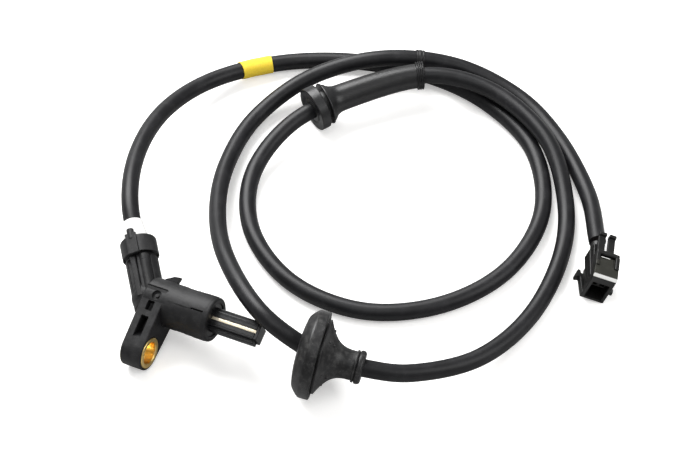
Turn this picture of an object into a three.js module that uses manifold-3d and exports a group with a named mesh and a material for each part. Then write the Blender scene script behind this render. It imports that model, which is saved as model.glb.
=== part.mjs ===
// A wheel speed sensor with its lead, lying on a bench. Millimetres, +Z up, the bench at z = 0.
// The sensor's barrel points along +X, and the lead's loops lie behind it.
import * as THREE from 'three';
import { mergeVertices } from 'three/addons/utils/BufferGeometryUtils.js';
import Module from 'manifold-3d';

const wasm = await Module();
wasm.setup();

// The cable's size, which what holds it or sits on it follows
const cableRadius = 3.45;

// Clearances between pieces that fit each other
const fitGap = 0.3;
const cableGap = 0.2;

// Sides of round shapes, by their size
const largeSides = 32;
const roundSides = 28;
const boreSides = 20;
const smallSides = 12;

// How the sensor lies: the barrel rises a little and the ear's rim touches the bench
const sensorX = -4.7;
const sensorY = 1.5;
const barrelRise = THREE.MathUtils.degToRad(5.5);
const earRoll = THREE.MathUtils.degToRad(20);

// Sensor housing. Its frame: x along the barrel to the blade, y from the ear to the outlet
const barrelRadius = 8.4;
const barrelLength = 18.4;
const barrelChamfer = 0.9;
const earThickness = 9;
const earTop = 3.2;
const earHalfWidth = 8.7;
const bushOffset = 20.4;
const bushBoreRadius = 4.25;
const bushWall = 1.85;
const bushOuterRadius = bushBoreRadius + bushWall;
const bushProud = 0.3;
const bossWall = 0.6;
const bossRadius = bushOuterRadius + fitGap + bossWall;
const coilWall = 1.8;
const coilBoreRadius = barrelRadius - coilWall;
const coilBoreDepth = 18.2;
const coilBoreBack = barrelLength - coilBoreDepth;
const rearBoreRadius = 4.4;
const rearBoreDepth = 8.6;
const rearBoreLap = 0.8;
const outletBoreLap = 2.6;

// Outlet tube and its cap. Their frame: x along the outlet from the barrel's axis
const outletAngle = THREE.MathUtils.degToRad(126.5);
const outletStart = -10;
const sealWall = 0.95;
const outletWall = 1.7;
const outletBoreRadius = cableRadius + sealWall + fitGap;
const outletRadius = outletBoreRadius + outletWall;
const outletLength = 23.2;
const capWall = 0.5;
const capRadius = outletRadius + fitGap + capWall;
const capStart = 17.3;
const capLength = 7.6;
const capKeyWidth = 4.2;
const capKeyHeight = 1.1;
const pipRadius = 1.45;
const pipLength = 2.8;
const keyAngle = THREE.MathUtils.degToRad(4);

// Blade, spool and what they hold
const bladeLength = 20.8;
const bladeWidth = 9.2;
const bladeThickness = 3.6;
const bladeCoreWidth = 6.2;
const bladeCoreThickness = 6;
const plateThickness = 1.2;
const plateEnd = 1.3;
const spoolCoreRadius = 3.3;
const flangeThickness = 1.4;
const plugLength = 5;
const windingGap = 0.6;
const windingRadius = coilBoreRadius - windingGap;
const magnetRadius = 2.1;
const magnetLength = 5;
const pinSize = 0.7;
const pinSpread = 3.2;
const pinLength = 7;
const wireRadius = 0.85;

// The lead
const cableSteps = 80;
const cableEntry = 12;
const sleeveLength = 9;
const sleeveStart = 12.2;
const sleeveBaseRadius = cableRadius + 1.35;
const sleeveTopRadius = cableRadius + 0.55;
const sealStart = 3;
const sealLength = 6;
const tapeStart = 136;
const tapeLength = 13.6;
const tapeThickness = 0.35;
const bandStart = 1075.7;
const bandLength = 3;
const bandThickness = 0.55;

// The small grommet: its disc comes first along the cable
const smallStart = 542.3;
const smallDiscRadius = 9.4;
const smallDiscThickness = 4.5;
const smallGrooveRadius = smallDiscRadius - 3;
const smallGrooveWidth = 1.2;
const smallLipRadius = smallDiscRadius - 0.5;
const smallTailRadius = cableRadius + 2.25;
const smallTailEndRadius = cableRadius + 1.7;
const smallTailLength = 38.5;
const smallRingRadius = smallTailEndRadius + 0.75;

// The large grommet. Its frame: x along its tail from the groove's edge of the disc
const largeX = 57.7;
const largeY = 3.7;
const largeHeight = 17.05;
const largeTurn = THREE.MathUtils.degToRad(12.5);
const largeDip = THREE.MathUtils.degToRad(7.1);
const largeNeckRadius = cableRadius + 2.2;
const largeRingRadius = largeNeckRadius + 0.85;
const largeRingStart = 13.2;
const largeRingLength = 3.3;
const largeDiscRadius = 17;
const largeLipRadius = largeDiscRadius - 2.6;
const largeGrooveRadius = largeDiscRadius - 4.4;
const largeGrooveWidth = 0.6;
const largeDiscThickness = 4;
const largeDomeThickness = 4.3;
const sealingRing = 0.25;

// The connector. Its frame: x towards the mouth, z up through the lock plate, before it is rolled
const connectorX = 130.7;
const connectorY = 98.1;
const connectorTurn = THREE.MathUtils.degToRad(-72.8);
const connectorRoll = THREE.MathUtils.degToRad(-17);
const connectorLength = 13;
const connectorWidth = 9.6;
const connectorHeight = 15.5;
const connectorWall = 1.3;
const connectorEntry = -2.2;
const connectorAxis = 6.8;
const mouthDepth = 9.6;
const towerLength = 4.6;
const neckLength = 9.4;
const neckRadius = cableRadius + 0.25;
const neckBoreRadius = 2.4;
const lockThickness = 1.3;
const lockWidth = 7.2;
const terminalSize = 1.5;
const terminalPitch = 3.2;
const prongWidth = 2.4;
const prongPitch = 4;
const prongLength = 6.6;

// The cable's centre line from inside the outlet to the connector's rear
const route = new THREE.CatmullRomCurve3([
  [-22.1, 10.6, 16.4], [-41.2, 34, 22.8], [-54, 62.7, 18.9], [-58.4, 93, 12.3], [-51.4, 121, 6.7],
  [-31.3, 144.4, 4.2], [-3.5, 159.3, 3.7], [26.8, 165.4, 3.7], [56.2, 161.6, 3.7], [83.4, 146, 3.7],
  [100.1, 116.7, 3.7], [99.9, 83.8, 3.7], [84.5, 56.5, 3.7], [58.4, 39.7, 3.7], [27.4, 39.5, 3.8],
  [0.6, 55.9, 4], [-12.8, 82.2, 5.6], [-9.5, 112.1, 9.1], [8, 137.4, 11.7], [31.2, 157.5, 13.2],
  [58.3, 162.1, 11.4], [87.4, 149.3, 9.4], [106.1, 126.2, 5], [115.9, 99.1, 3.7], [117.1, 66, 4],
  [108.3, 36.9, 6.6], [90, 16.1, 11], [72.2, 6.9, 15.2], [58.7, 3.9, 16.9], [33.5, 4.7, 27.2], [6.2, 26.3, 21],
  [-12.4, 51.8, 12.4], [-24.3, 80.7, 6.2], [-26.8, 110.9, 4.5], [-14.9, 138.4, 8.6], [8.5, 157.8, 12.6],
  [36.5, 171, 9], [65.4, 170.4, 4.6], [89.8, 156.8, 3.7], [113, 133, 5], [127.2, 108.3, 8.6],
].map((point) => new THREE.Vector3(...point)), false, 'catmullrom', 0.5);
route.arcLengthDivisions = 2000;
const cableLength = route.getLength();

// Solids: a closed geometry becomes one that can be joined and cut, and comes back as a geometry
function solid(geometry) {
  const bare = new THREE.BufferGeometry();
  bare.setAttribute('position', geometry.getAttribute('position'));
  bare.setIndex(geometry.getIndex());
  const merged = mergeVertices(bare, 1e-4);
  const place = merged.getAttribute('position');
  const corners = merged.getIndex().array;
  const kept = [];
  let volume = 0;
  const [a, b, c] = [new THREE.Vector3(), new THREE.Vector3(), new THREE.Vector3()];
  for (let i = 0; i < corners.length; i += 3) {
    const [p, q, r] = [corners[i], corners[i + 1], corners[i + 2]];
    if (p === q || q === r || r === p) continue;
    kept.push(p, q, r);
    a.fromBufferAttribute(place, p);
    b.fromBufferAttribute(place, q);
    c.fromBufferAttribute(place, r);
    volume += a.dot(b.cross(c));
  }
  if (volume < 0) kept.reverse();
  const mesh = new wasm.Mesh({
    numProp: 3,
    vertProperties: new Float32Array(place.array),
    triVerts: new Uint32Array(kept),
  });
  return new wasm.Manifold(mesh);
}

function geometryOf(body) {
  const mesh = body.getMesh();
  const geometry = new THREE.BufferGeometry();
  geometry.setAttribute('position', new THREE.BufferAttribute(new Float32Array(mesh.vertProperties), 3));
  geometry.setIndex(new THREE.BufferAttribute(new Uint32Array(mesh.triVerts), 1));
  geometry.computeVertexNormals();
  return geometry;
}

const join = (...bodies) => bodies.reduce((whole, body) => whole.add(body));
const cut = (body, ...tools) => tools.reduce((rest, tool) => rest.subtract(tool), body);

// A box between two corners
function block(x0, x1, y0, y1, z0, z1) {
  const box = new THREE.BoxGeometry(x1 - x0, y1 - y0, z1 - z0);
  return solid(box.translate((x0 + x1) / 2, (y0 + y1) / 2, (z0 + z1) / 2));
}

// A body turned about the x axis from a profile of [x, radius] points
const turnedAxes = new THREE.Matrix4().makeBasis(
  new THREE.Vector3(0, 1, 0), new THREE.Vector3(1, 0, 0), new THREE.Vector3(0, 0, -1));
function turnedGeometry(profile, sides) {
  const first = profile[0][0];
  const last = profile[profile.length - 1][0];
  const points = [[first, 0], ...profile, [last, 0]].map(([x, r]) => new THREE.Vector2(r, x));
  return new THREE.LatheGeometry(points, sides).applyMatrix4(turnedAxes);
}
const turned = (profile, sides = roundSides) => solid(turnedGeometry(profile, sides));
const rod = (x0, x1, radius, sides = roundSides) => turned([[x0, radius], [x1, radius]], sides);

// An outline drawn in y and z, carried along x from x0 to x1, with its edges eased
const acrossX = new THREE.Matrix4().makeBasis(
  new THREE.Vector3(0, 1, 0), new THREE.Vector3(0, 0, 1), new THREE.Vector3(1, 0, 0));
function extrudedX(shape, x0, x1, ease = 0, curveSegments = 10) {
  const options = { depth: x1 - x0 - 2 * ease, bevelEnabled: ease > 0, curveSegments };
  if (ease > 0) {
    Object.assign(options, { bevelThickness: ease, bevelSize: ease, bevelOffset: -ease, bevelSegments: 1 });
  }
  const geometry = new THREE.ExtrudeGeometry(shape, options).translate(0, 0, x0 + ease);
  return solid(geometry.applyMatrix4(acrossX));
}

// An outline drawn in x and y, carried up from z0 to z1
function extrudedZ(points, z0, z1) {
  const shape = new THREE.Shape(points.map(([x, y]) => new THREE.Vector2(x, y)));
  return solid(new THREE.ExtrudeGeometry(shape, { depth: z1 - z0, bevelEnabled: false }).translate(0, 0, z0));
}

// An outline drawn in x and z, carried sideways from y0 to y1
const acrossY = new THREE.Matrix4().makeBasis(
  new THREE.Vector3(1, 0, 0), new THREE.Vector3(0, 0, 1), new THREE.Vector3(0, -1, 0));
function extrudedY(points, y0, y1) {
  const shape = new THREE.Shape(points.map(([x, z]) => new THREE.Vector2(x, z)));
  const geometry = new THREE.ExtrudeGeometry(shape, { depth: y1 - y0, bevelEnabled: false });
  return solid(geometry.translate(0, 0, -y1).applyMatrix4(acrossY));
}

function moved(body, matrix) {
  return solid(geometryOf(body).applyMatrix4(matrix));
}

// A round section carried along a curve
function tube(curve, radius, steps, sides = smallSides) {
  const section = new THREE.Shape();
  section.absarc(0, 0, radius, 0, 2 * Math.PI, false);
  return new THREE.ExtrudeGeometry(section, { steps, curveSegments: sides / 2, extrudePath: curve });
}
const cableTube = (radius) => tube(route, radius, cableSteps);

// A turned body bent so that its x axis follows the cable from a place along it
function onCable(profile, start, sides = boreSides) {
  const geometry = turnedGeometry(profile, sides);
  const place = geometry.getAttribute('position');
  const up = new THREE.Vector3(0, 0, 1);
  const point = new THREE.Vector3();
  for (let i = 0; i < place.count; i += 1) {
    const along = (start + place.getX(i)) / cableLength;
    const ahead = route.getTangentAt(along);
    const side = new THREE.Vector3().crossVectors(up, ahead).normalize();
    const top = new THREE.Vector3().crossVectors(ahead, side);
    route.getPointAt(along, point);
    point.addScaledVector(side, place.getY(i)).addScaledVector(top, place.getZ(i));
    place.setXYZ(i, point.x, point.y, point.z);
  }
  return cut(solid(geometry), solid(cableTube(cableRadius + cableGap)));
}

// Frames
const sensorHeight = earThickness * Math.sin(barrelRise)
  + (bushOffset * Math.sin(earRoll) + bossRadius) * Math.cos(barrelRise);
const sensorFrame = new THREE.Group();
sensorFrame.position.set(sensorX, sensorY, sensorHeight);
sensorFrame.rotation.set(earRoll, -barrelRise, 0, 'YXZ');
sensorFrame.updateMatrixWorld();
const intoSensor = sensorFrame.matrixWorld.clone().invert();
const outletMatrix = new THREE.Matrix4().makeRotationZ(outletAngle).setPosition(outletStart, 0, 0);

const largeMatrix = new THREE.Matrix4()
  .makeRotationFromEuler(new THREE.Euler(0, largeDip, largeTurn, 'ZYX')).setPosition(largeX, largeY, largeHeight);

const connectorFrame = new THREE.Group();
connectorFrame.position.set(connectorX, connectorY, (connectorWidth / 2) * Math.sin(-connectorRoll));
connectorFrame.rotation.set(connectorRoll, 0, connectorTurn, 'ZYX');

// Sensor housing
function earBody() {
  const outline = new THREE.Shape();
  const lean = Math.asin((earHalfWidth - bossRadius) / Math.hypot(bushOffset + earTop, earHalfWidth - bossRadius));
  outline.moveTo(earTop, -earHalfWidth);
  outline.lineTo(earTop, earHalfWidth);
  outline.absarc(-bushOffset, 0, bossRadius, Math.PI / 2 + lean, (3 * Math.PI) / 2 - lean, false);
  outline.closePath();
  const ear = extrudedX(outline, -earThickness, 0, 0.5);
  const middle = -earThickness / 2;
  const upperPocket = block(middle - 1.3, middle + 1.5, -6.7, -2.8, earHalfWidth - 2.2, earHalfWidth + 1);
  const lowerPocket = extrudedX(rampOutline(), middle - 1.5, middle + 1.5);
  const recess = moved(rod(earHalfWidth - 0.8, earHalfWidth + 1, 1.9, smallSides),
    new THREE.Matrix4().makeRotationY(-Math.PI / 2).setPosition(middle + 1.1, -0.2, 0));
  return cut(ear, upperPocket, lowerPocket, recess);
}

// The lower pocket runs out to the surface above the boss
function rampOutline() {
  const outline = new THREE.Shape();
  outline.moveTo(-9, earHalfWidth + 1);
  outline.lineTo(-9, earHalfWidth - 4.5);
  outline.lineTo(-13, earHalfWidth - 4.2);
  outline.lineTo(-18.5, earHalfWidth - 1);
  outline.lineTo(-19, earHalfWidth + 1);
  outline.closePath();
  return outline;
}

function latchTooth() {
  const root = barrelRadius - 0.6;
  const outline = [[-4.2, root], [-4.2, root + 0.5], [-0.9, root + 2.5], [1, root + 2.5], [0.4, root]];
  return moved(extrudedZ(outline, -1.2, 1.2), new THREE.Matrix4().makeRotationX(0.25));
}

function outletTube() {
  const grooves = [];
  for (const [angle, width, depth] of [[21, 1.9, 1.2], [-8, 0.9, 0.9], [-43, 0.9, 0.8]]) {
    const groove = block(2.5, 18.4, -width / 2, width / 2, outletRadius - depth, outletRadius + 1);
    grooves.push(moved(groove, new THREE.Matrix4().makeRotationX(-THREE.MathUtils.degToRad(angle))));
  }
  const rib = moved(block(3, capStart - fitGap, -0.9, 0.9, outletRadius - 1, outletRadius + 0.35),
    new THREE.Matrix4().makeRotationX(-keyAngle));
  return join(cut(rod(-1, outletLength, outletRadius), ...grooves), rib);
}

function sensorHousing() {
  const barrel = turned([[-earThickness + 0.2, barrelRadius - 0.5], [-earThickness + 0.7, barrelRadius],
    [barrelLength - barrelChamfer, barrelRadius], [barrelLength, barrelRadius - barrelChamfer]], largeSides);
  const collar = turned([[12.4, barrelRadius - 0.2], [12.6, barrelRadius + 0.12], [17.2, barrelRadius + 0.12],
    [17.4, barrelRadius - 0.2]], largeSides);
  const elbow = new THREE.SphereGeometry(outletRadius + 0.3, 16, 10).translate(outletStart, 0, 0);
  const body = join(barrel, collar, earBody(), latchTooth(), solid(elbow), moved(outletTube(), outletMatrix));
  const slit = block(11.7, 17, -0.3, 0.3, barrelRadius - 0.7, barrelRadius + 1);
  return cut(body, slit,
    rod(coilBoreBack, barrelLength + 1, coilBoreRadius),
    rod(-rearBoreDepth, coilBoreBack + rearBoreLap, rearBoreRadius, boreSides),
    moved(rod(-outletBoreLap, outletLength + 1, outletBoreRadius, boreSides), outletMatrix),
    moved(rod(-earThickness - 1, 1, bushOuterRadius + fitGap),
      new THREE.Matrix4().makeTranslation(0, -bushOffset, 0)));
}

function mountBush() {
  const back = -earThickness - bushProud;
  const ease = 0.4;
  const wall = turned([[back, bushOuterRadius - ease], [back + ease, bushOuterRadius],
    [bushProud - ease, bushOuterRadius], [bushProud, bushOuterRadius - ease]]);
  const bore = turned([[back - 1, bushBoreRadius + 1 + ease], [back + ease, bushBoreRadius],
    [bushProud - ease, bushBoreRadius], [bushProud + 1, bushBoreRadius + 1 + ease]]);
  return moved(cut(wall, bore), new THREE.Matrix4().makeTranslation(0, -bushOffset, 0));
}

// The cap sits over the end of the outlet tube, and its key block carries a pip
function outletCap() {
  const end = capStart + capLength;
  const shell = turned([[capStart, capRadius - 0.25], [capStart + 0.25, capRadius], [end - 0.9, capRadius],
    [end - 0.3, capRadius - 0.3], [end, capRadius - 0.9]]);
  const key = block(capStart - 0.8, end + 0.4, -capKeyWidth / 2, capKeyWidth / 2,
    outletRadius + fitGap + 0.4, capRadius + capKeyHeight);
  const pip = turned([[end - 1, pipRadius], [end + pipLength, pipRadius], [end + pipLength + 0.6, pipRadius - 0.5]], smallSides);
  const raised = join(key, pip.translate([0, 0, capRadius - 0.2]));
  const whole = join(shell, moved(raised, new THREE.Matrix4().makeRotationX(-keyAngle)));
  const inside = rod(capStart - 2, outletLength + fitGap, outletRadius + fitGap);
  return cut(moved(cut(whole, inside), outletMatrix),
    solid(cableTube(sleeveBaseRadius + fitGap).applyMatrix4(intoSensor)));
}

function cableSeal() {
  const start = cableEntry + sealStart;
  const ring = rod(start, start + sealLength, outletBoreRadius - fitGap, boreSides);
  return cut(moved(ring, outletMatrix), solid(cableTube(cableRadius + cableGap).applyMatrix4(intoSensor)));
}

// The carrier is the blade, the plug that closes the barrel and the spool behind it
const plugFront = barrelLength - 0.3;
const plugBack = plugFront - plugLength;
const spoolBack = coilBoreBack + fitGap;
const bladeEnd = barrelLength + bladeLength;
const magnetFront = spoolBack + 0.1 + magnetLength;

function coilCarrier() {
  const flange = coilBoreRadius - fitGap;
  const spool = turned([[spoolBack, flange], [spoolBack + flangeThickness, flange],
    [spoolBack + flangeThickness, spoolCoreRadius], [plugBack, spoolCoreRadius], [plugBack, flange],
    [plugFront, flange]]);
  const wing = bladeWidth / 2;
  const core = bladeCoreWidth / 2;
  const outline = new THREE.Shape([
    [-wing, -bladeThickness / 2], [-core, -bladeThickness / 2], [-core, -bladeCoreThickness / 2],
    [core, -bladeCoreThickness / 2], [core, -bladeThickness / 2], [wing, -bladeThickness / 2],
    [wing, bladeThickness / 2], [core, bladeThickness / 2], [core, bladeCoreThickness / 2],
    [-core, bladeCoreThickness / 2], [-core, bladeThickness / 2], [-wing, bladeThickness / 2],
  ].map(([y, z]) => new THREE.Vector2(y, z)));
  const blade = extrudedX(outline, plugFront - 1, bladeEnd, 0.25);
  const slot = plateThickness / 2 + fitGap;
  const front = bladeEnd - plateEnd + fitGap;
  const plateSlot = join(
    block(plugFront - 0.2, front, -slot, slot, -bladeCoreThickness, bladeCoreThickness),
    block(magnetFront - 0.1, plugFront, -slot, slot, -magnetRadius - fitGap, magnetRadius + fitGap));
  const pinHole = pinSize / 2 + fitGap;
  const holes = [-pinSpread, pinSpread].map((z) => block(spoolBack - 1, spoolBack + flangeThickness + 1,
    -pinHole, pinHole, z - pinHole, z + pinHole));
  return cut(join(spool, blade), plateSlot, rod(spoolBack - 1, magnetFront + fitGap, magnetRadius + fitGap, boreSides),
    ...holes);
}

function polePlate() {
  const half = plateThickness / 2;
  const reach = bladeCoreThickness / 2 - 0.35;
  return join(
    block(magnetFront + fitGap, plugFront + 1, -half, half, -magnetRadius, magnetRadius),
    block(plugFront + 0.3, bladeEnd - plateEnd, -half, half, -reach, reach));
}

function coilWinding() {
  const back = spoolBack + flangeThickness + fitGap;
  const front = plugBack - fitGap;
  const pinNotch = pinSize / 2 + fitGap;
  const ring = cut(rod(back, front, windingRadius), rod(back - 1, front + 1, spoolCoreRadius + fitGap));
  return cut(ring, ...[-pinSpread, pinSpread].map((z) => block(back - 1, back + 1.2,
    -pinNotch, pinNotch, z - pinNotch, z + pinNotch)));
}

function magnet() {
  const ease = 0.3;
  const back = spoolBack + 0.1;
  return turned([[back, magnetRadius - ease], [back + ease, magnetRadius], [magnetFront - ease, magnetRadius],
    [magnetFront, magnetRadius - ease]], boreSides);
}

function contactPin(side) {
  const half = pinSize / 2;
  const front = spoolBack + flangeThickness + 0.2;
  return block(front - pinLength, front, -half, half, side * pinSpread - half, side * pinSpread + half);
}

// Each core runs from its pin round the elbow to the end of the cable's sheath
function leadWire(side) {
  const pinBack = spoolBack + flangeThickness + 0.2 - pinLength;
  const ahead = new THREE.Vector3(Math.cos(outletAngle), Math.sin(outletAngle), 0);
  const onOutlet = (along, z) => new THREE.Vector3(outletStart, 0, z).addScaledVector(ahead, along);
  const curve = new THREE.CatmullRomCurve3([
    new THREE.Vector3(pinBack - fitGap, 0, side * pinSpread),
    new THREE.Vector3(pinBack - 2, 0.4, side * 2.4),
    onOutlet(4.5, side * 2.2),
    onOutlet(8, side * 1.5),
    onOutlet(11.5, side * 1.4),
  ], false, 'catmullrom', 0.5);
  return solid(tube(curve, wireRadius, 10));
}

// Pieces on the cable
function cable() {
  return solid(cableTube(cableRadius));
}

function whiteSleeve() {
  return onCable([[0, sleeveBaseRadius], [2.4, sleeveBaseRadius], [sleeveLength - 1, sleeveTopRadius + 0.1],
    [sleeveLength, sleeveTopRadius]], sleeveStart);
}

function ringOnCable(start, length, thickness) {
  const outer = cableRadius + cableGap + thickness;
  return onCable([[0, outer], [length / 2, outer], [length, outer]], start);
}

function smallGrommet() {
  const groove = smallDiscThickness + smallGrooveWidth;
  const lip = groove + 1.6;
  const cone = lip + 4.8;
  const tail = cone + smallTailLength - 4.8;
  const ease = 0.5;
  const profile = [[0, smallDiscRadius - ease], [ease, smallDiscRadius],
    [smallDiscThickness - ease, smallDiscRadius], [smallDiscThickness, smallDiscRadius - ease],
    [smallDiscThickness, smallGrooveRadius], [groove, smallGrooveRadius],
    [groove, smallLipRadius], [lip - 0.5, smallLipRadius], [lip, smallLipRadius - 0.7],
    [lip + 1.2, smallTailRadius + 1.7], [lip + 2.8, smallTailRadius + 0.5], [cone, smallTailRadius]];
  const bends = 5;
  for (let i = 1; i <= bends; i += 1) {
    const radius = THREE.MathUtils.lerp(smallTailRadius, smallTailEndRadius, i / bends);
    profile.push([cone + ((tail - cone) * i) / bends, radius]);
  }
  profile.push([tail, smallRingRadius - 0.3], [tail + 0.5, smallRingRadius], [tail + 1.6, smallRingRadius],
    [tail + 1.9, smallRingRadius - 0.4], [tail + 2.2, smallRingRadius], [tail + 3, smallRingRadius],
    [tail + 3.4, smallRingRadius - 0.4]);
  return onCable(profile, smallStart);
}

// The disc's groove side carries a raised ring outside the lip, where it seals against the panel
function largeGrommet() {
  const lip = largeGrooveWidth;
  const ring = largeRingStart;
  const end = ring + largeRingLength;
  const back = -largeDiscThickness;
  const dome = back - largeDomeThickness;
  const hollow = largeLipRadius - largeNeckRadius;
  const seal = largeLipRadius + fitGap;
  const profile = [[dome, largeDiscRadius - 8.5], [dome + 0.3, largeDiscRadius - 6.4],
    [dome + 0.9, largeDiscRadius - 3.4], [dome + 2.8, largeDiscRadius - 1.4], [back, largeDiscRadius],
    [-0.4, largeDiscRadius], [0, largeDiscRadius - 0.5], [0, seal], [-sealingRing, seal],
    [-sealingRing, largeGrooveRadius], [lip, largeGrooveRadius], [lip, largeLipRadius], [lip + 0.4, largeLipRadius]];
  for (const [along, share] of [[3.2, 0.565], [5, 0.29], [7, 0.12], [9, 0.03]]) {
    profile.push([along, largeNeckRadius + hollow * share]);
  }
  profile.push([11, largeNeckRadius], [ring, largeNeckRadius], [ring, largeRingRadius - 0.3],
    [ring + 0.4, largeRingRadius], [ring + 1.2, largeRingRadius], [ring + 1.6, largeRingRadius - 0.4],
    [ring + 2, largeRingRadius], [end - 0.5, largeRingRadius], [end, largeRingRadius - 0.5]);
  return cut(moved(turned(profile), largeMatrix), solid(cableTube(cableRadius + cableGap)));
}

// Connector
const mouthX = connectorLength;
const towerBack = mouthX - mouthDepth;
const towerFront = towerBack + towerLength;
const terminalSides = [-1, 1];

function connectorBody() {
  const half = connectorWidth / 2;
  const top = connectorHeight;
  const outline = new THREE.Shape([[-half, 0.5], [-half + 0.5, 0], [half - 0.5, 0], [half, 0.5], [half, top - 0.8],
    [half - 0.8, top], [-half + 0.8, top], [-half, top - 0.8]].map(([y, z]) => new THREE.Vector2(y, z)));
  const shell = extrudedX(outline, 0, mouthX, 0);
  const rearCorner = extrudedZ([[-1, -half - 1], [2, -half - 1], [-1, -half + 2]], -1, top + 1);
  const mouth = block(towerBack, mouthX + 1, -half + connectorWall, half - connectorWall,
    connectorWall, top - 2.2 - connectorWall);
  const lockSeat = block(2, mouthX + 1, -lockWidth / 2 - fitGap, lockWidth / 2 + fitGap,
    top - lockThickness - fitGap, top + 1);
  const flank = [3.2, 6.2, 9.2].map((z) => block(1.5, mouthX - 1.5, -half - 1, -half + 0.45, z, z + 1.1));
  return cut(shell, rearCorner, mouth, lockSeat, ...flank);
}

function connectorTower() {
  const half = terminalPitch / 2 + terminalSize / 2 + fitGap + 0.5;
  return block(towerBack - 0.5, towerFront, -half, half, connectorAxis - 1.9, connectorAxis + 1.9);
}

function connectorNeck() {
  return rod(-neckLength, 0.9, neckRadius, boreSides).translate([0, connectorEntry, connectorAxis]);
}

function connectorProngs() {
  const top = connectorHeight;
  const profile = [[0.5, top - 2.4], [0.5, top - 0.3], [-prongLength + 1.2, top - 0.3], [-prongLength + 1.2, top + 0.9],
    [-prongLength, top + 0.9], [-prongLength, top - 1.9], [-1.5, top - 1.9]];
  return [-0.5, 0.5].map((side) => {
    const middle = -1.2 + side * prongPitch;
    return extrudedY(profile, middle - prongWidth / 2, middle + prongWidth / 2);
  });
}

// The side arm springs from the mouth's lower edge and ends in a finger tab
function connectorArm() {
  const half = connectorWidth / 2;
  const outline = [[mouthX, -half + 0.5], [mouthX, -half - 0.1], [5.6, -half - 1.6], [6.2, -half - 3.5],
    [5.2, -half - 3.8], [2.2, -half - 2.9], [2.4, -half - 1.8], [4.4, -half - 0.8], [mouthX - 2.6, -half + 0.5]];
  return extrudedZ(outline, 0, 3);
}

function connectorHousing() {
  const nub = rod(0, 1.2, 1.2, smallSides);
  const whole = join(connectorBody(), connectorTower(), connectorNeck(), ...connectorProngs(), connectorArm(),
    moved(nub, new THREE.Matrix4().makeRotationZ(Math.PI / 2).setPosition(mouthX - 1.6, connectorWidth / 2 - 0.4, 4)));
  const channel = terminalSize / 2 + fitGap;
  const channels = terminalSides.map((side) => {
    const y = (side * terminalPitch) / 2;
    return block(towerBack - 1, towerFront + 1, y - channel, y + channel, connectorAxis - channel, connectorAxis + channel);
  });
  const hollow = rod(-neckLength - 1, 0.6, neckBoreRadius, boreSides).translate([0, connectorEntry, connectorAxis]);
  const room = block(0.3, towerBack - 0.4, -4.2, 3, connectorAxis - 1.4, connectorAxis + 1.4);
  return cut(whole, hollow, room, ...channels);
}

function connectorLock() {
  const top = connectorHeight;
  const low = top - lockThickness;
  const profile = [[2 + fitGap, low], [2 + fitGap, top - 0.1], [2.8, top - 0.1], [3.2, top - 0.5], [3.8, top - 0.5],
    [4.2, top - 0.1], [mouthX - 0.6, top - 0.1], [mouthX - 0.1, top - 0.4], [mouthX, top - 0.75], [mouthX - 0.2, low]];
  return extrudedY(profile, -lockWidth / 2, lockWidth / 2);
}

function terminal(side) {
  const half = terminalSize / 2;
  const y = (side * terminalPitch) / 2;
  const box = block(towerBack - 0.2, towerFront - 0.4, y - half, y + half, connectorAxis - half, connectorAxis + half);
  const slot = block(towerFront - 3, towerFront, y - 0.4, y + 0.4, connectorAxis - 0.4, connectorAxis + 0.4);
  return cut(box, slot);
}

function terminalWire(side) {
  const y = (side * terminalPitch) / 2;
  const curve = new THREE.CatmullRomCurve3([
    new THREE.Vector3(-neckLength - 0.2, connectorEntry + side, connectorAxis),
    new THREE.Vector3(-neckLength + 2, connectorEntry + side * 1.2, connectorAxis),
    new THREE.Vector3(-0.4, connectorEntry + side * 1.1, connectorAxis),
    new THREE.Vector3(towerBack - 0.8, y, connectorAxis),
  ], false, 'catmullrom', 0.5);
  return solid(tube(curve, wireRadius - 0.1, 8));
}

// Materials, as the finished pieces look
const blackPlastic = { color: 0x2b2b2d, roughness: 0.55, metalness: 0 };
const greyPlastic = { color: 0x4a4b48, roughness: 0.4, metalness: 0 };
const blackRubber = { color: 0x242426, roughness: 0.6, metalness: 0 };
const whitePlastic = { color: 0xf2f2f0, roughness: 0.5, metalness: 0 };
const yellowTape = { color: 0xf6d21c, roughness: 0.5, metalness: 0 };
const brass = { color: 0xcfa24a, roughness: 0.3, metalness: 1 };
const iron = { color: 0xc9c2b2, roughness: 0.35, metalness: 1 };
const copper = { color: 0xb4632c, roughness: 0.35, metalness: 1 };
const magnetGrey = { color: 0x77787a, roughness: 0.4, metalness: 1 };
const wireSheath = { color: 0x8a5a3c, roughness: 0.6, metalness: 0 };

function add(parent, name, body, finish) {
  const mesh = new THREE.Mesh(geometryOf(body), new THREE.MeshStandardMaterial(finish));
  mesh.name = name;
  parent.add(mesh);
}

const sensor = new THREE.Group();
add(sensorFrame, 'sensor_housing', sensorHousing(), blackPlastic);
add(sensorFrame, 'mount_bush', mountBush(), brass);
add(sensorFrame, 'outlet_cap', outletCap(), blackPlastic);
add(sensorFrame, 'cable_seal', cableSeal(), blackRubber);
add(sensorFrame, 'coil_carrier', coilCarrier(), blackPlastic);
add(sensorFrame, 'pole_plate', polePlate(), iron);
add(sensorFrame, 'coil_winding', coilWinding(), copper);
add(sensorFrame, 'magnet', magnet(), magnetGrey);
for (const [number, side] of [[1, -1], [2, 1]]) {
  add(sensorFrame, `contact_pin_${number}`, contactPin(side), brass);
  add(sensorFrame, `lead_wire_${number}`, leadWire(side), wireSheath);
  add(connectorFrame, `terminal_${number}`, terminal(side), brass);
  add(connectorFrame, `terminal_wire_${number}`, terminalWire(side), wireSheath);
}
add(sensor, 'cable', cable(), blackRubber);
add(sensor, 'white_sleeve', whiteSleeve(), whitePlastic);
add(sensor, 'yellow_marker', ringOnCable(tapeStart, tapeLength, tapeThickness), yellowTape);
add(sensor, 'cable_band', ringOnCable(bandStart, bandLength, bandThickness), blackRubber);
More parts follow.
